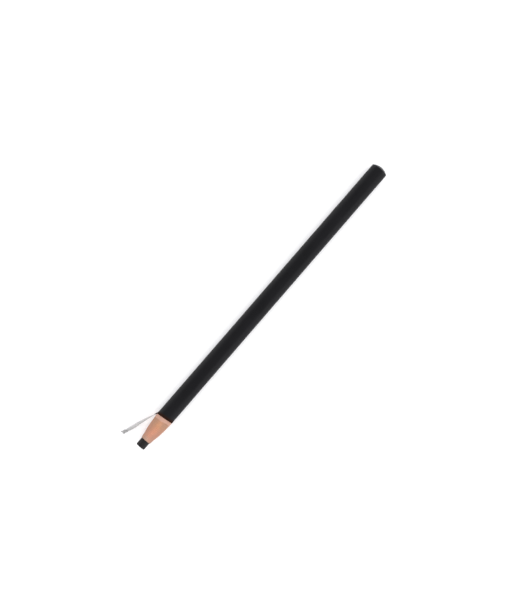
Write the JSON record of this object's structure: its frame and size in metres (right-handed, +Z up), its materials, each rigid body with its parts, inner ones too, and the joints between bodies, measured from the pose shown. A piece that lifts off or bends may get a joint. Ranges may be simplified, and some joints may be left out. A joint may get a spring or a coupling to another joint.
{
  "type": "peel-off marking pencil",
  "caption": "Round paper-wrapped wax marking pencil with a peeled cone tip, a torn black wrapper and a knotted pull thread.",
  "frame": {"origin": "middle of the pencil's length and width, on the surface it lies on", "axes": "+X along the pencil towards the tail, so the tip points to -X; +Z up; the pull thread leaves on the +Y side"},
  "size_m": [0.1756, 0.0153, 0.0084],
  "materials": {
    "wax": "waxy, slightly shiny, worn dull at the writing end",
    "paper": "wound tan paper, fibrous cut layers on the cone and a paler matt face behind it",
    "wrapper": "black coated paper, satin",
    "seal": "black dipped lacquer, semi-gloss",
    "thread": "off-white twisted cotton thread"
  },
  "bodies": {
    "barrel": {"wax_core": "wax", "paper_winding_02": "paper", "paper_winding_03": "paper", "paper_winding_04": "paper", "paper_winding_05": "paper", "paper_winding_06": "paper", "paper_winding_07": "paper", "paper_winding_08": "paper", "paper_winding_09": "paper", "paper_winding_10": "paper", "paper_winding_11": "paper", "paper_winding_12": "paper", "paper_winding_13": "paper", "paper_winding_14": "paper", "paper_winding_15": "paper", "paper_winding_16": "paper", "paper_winding_17": "paper", "tail_winding": "paper", "wrapper_band_02": "wrapper", "wrapper_band_03": "wrapper", "wrapper_band_04": "wrapper", "wrapper_band_05": "wrapper", "wrapper_band_06": "wrapper", "wrapper_band_07": "wrapper", "wrapper_band_08": "wrapper", "wrapper_band_09": "wrapper", "wrapper_band_10": "wrapper", "wrapper_band_11": "wrapper", "wrapper_band_12": "wrapper", "wrapper_band_13": "wrapper", "wrapper_band_14": "wrapper", "wrapper_band_15": "wrapper", "wrapper_band_16": "wrapper", "wrapper_band_17": "wrapper", "tail_wrapper": "wrapper", "tail_seal": "seal", "thread_run": "thread", "thread_lead": "thread"},
    "peel_section": {"paper_winding_01": "paper", "wrapper_band_01": "wrapper"},
    "free_thread": {"pull_thread": "thread", "thread_knot": "thread"}
  },
  "joints": [
    {"name": "peel_off", "type": "slide", "parent": "barrel", "child": "peel_section", "axis": [-1, 0, 0], "range_m": [0, 0.03]},
    {"name": "thread_swing", "type": "hinge", "parent": "barrel", "child": "free_thread", "pos_m": [-0.0707, 0.00442, 0.0042], "axis": [0, 0, -1], "range_deg": [-18, 130]}
  ]
}
